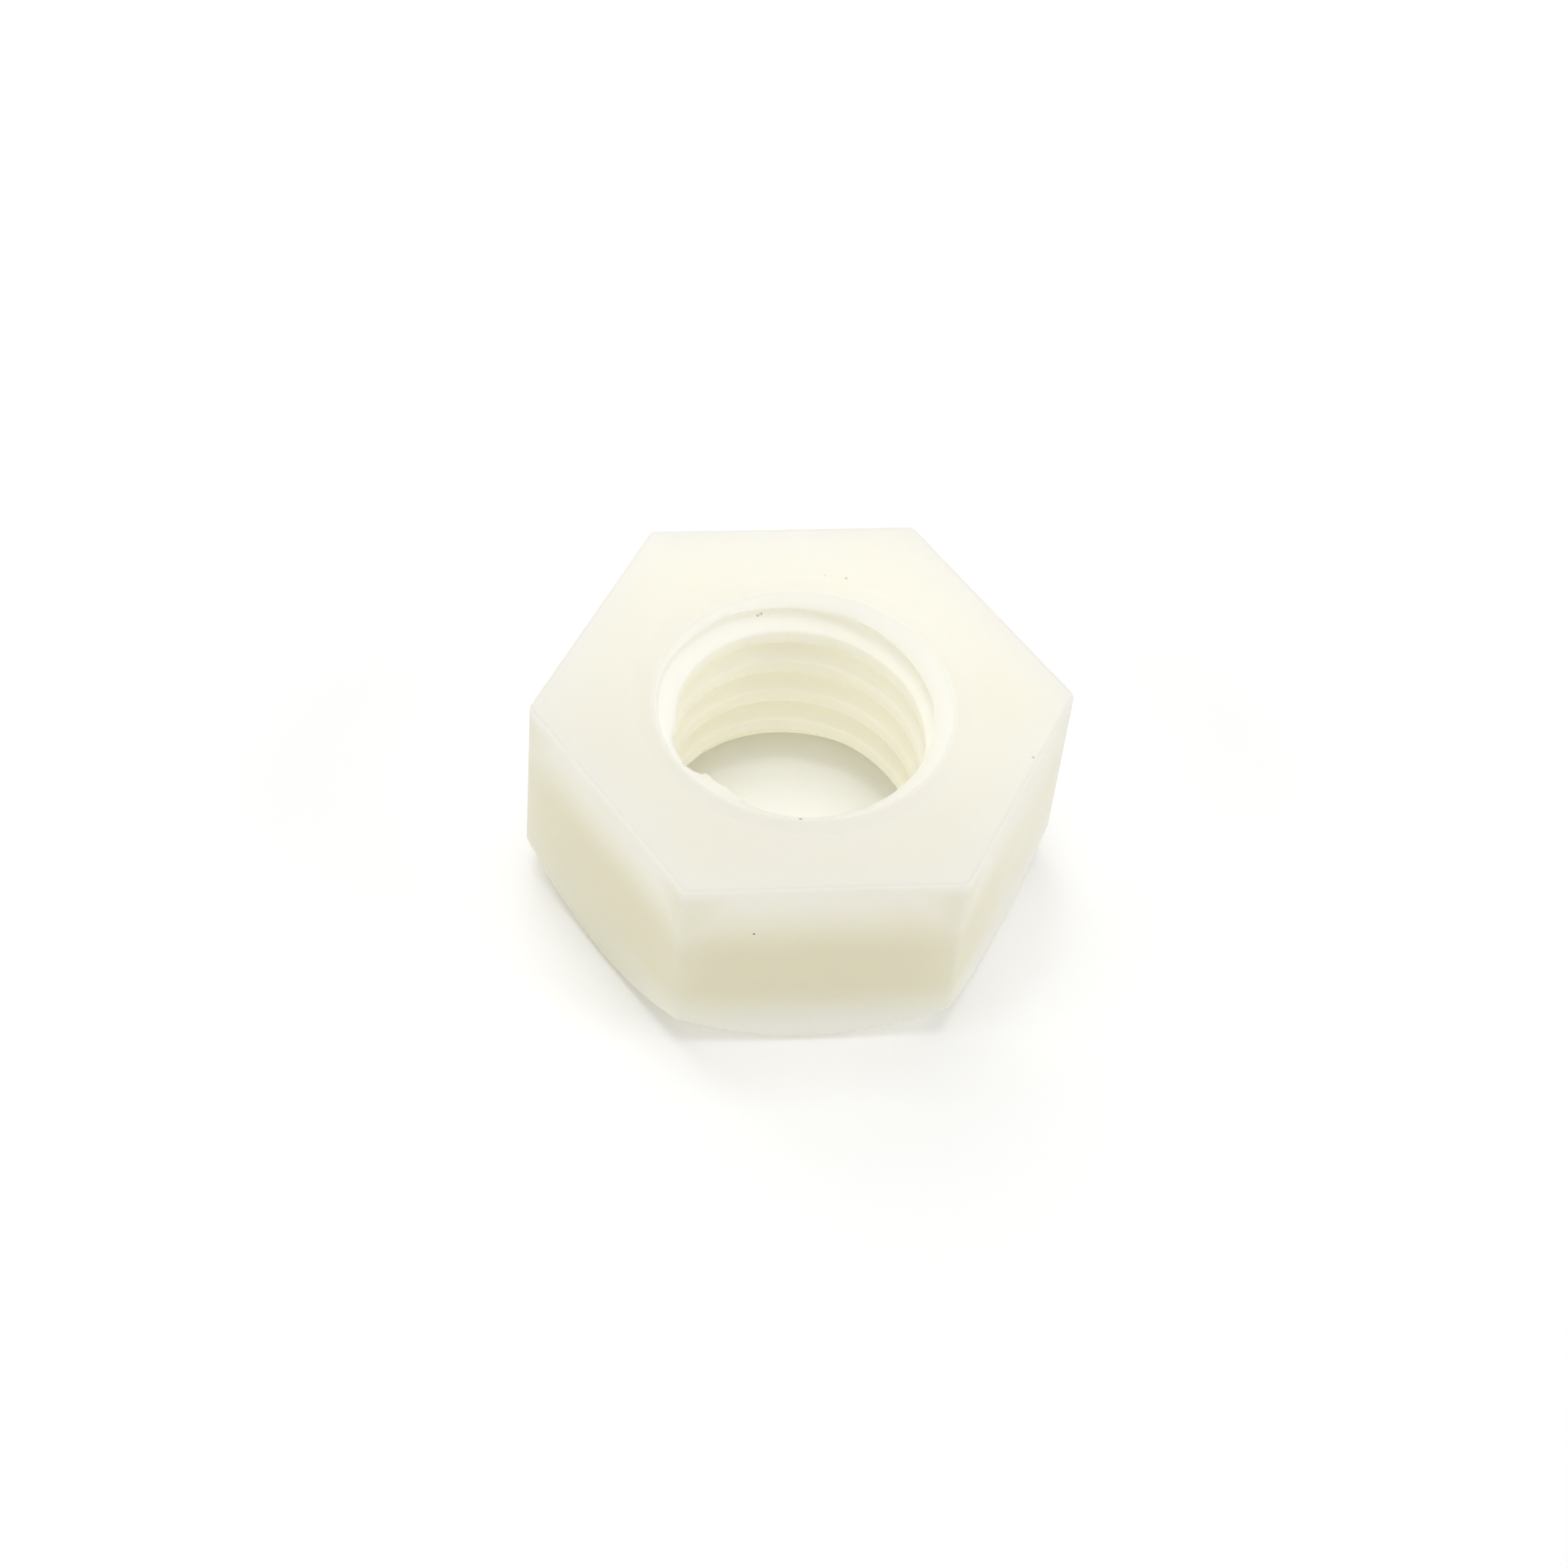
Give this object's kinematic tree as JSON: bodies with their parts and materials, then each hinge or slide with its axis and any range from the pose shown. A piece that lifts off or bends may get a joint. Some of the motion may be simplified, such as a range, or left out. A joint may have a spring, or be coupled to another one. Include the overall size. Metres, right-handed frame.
{
  "type": "plastic hex nut",
  "caption": "Small plastic hex nut with a coarse internal thread, a countersink in each face and a cone chamfer on the corners of one side.",
  "frame": {"origin": "centre of the underside, on the thread's axis, in the plane that the nut rests on", "axes": "+Z along the thread's axis, from the chamfered underside to the plain upper face; +X towards one corner of the hexagon"},
  "size_m": [0.015, 0.013, 0.0068],
  "materials": {
    "nylon": "natural milky plastic, translucent, smooth as moulded"
  },
  "bodies": {
    "root": {"nut": "nylon"}
  },
  "joints": []
}
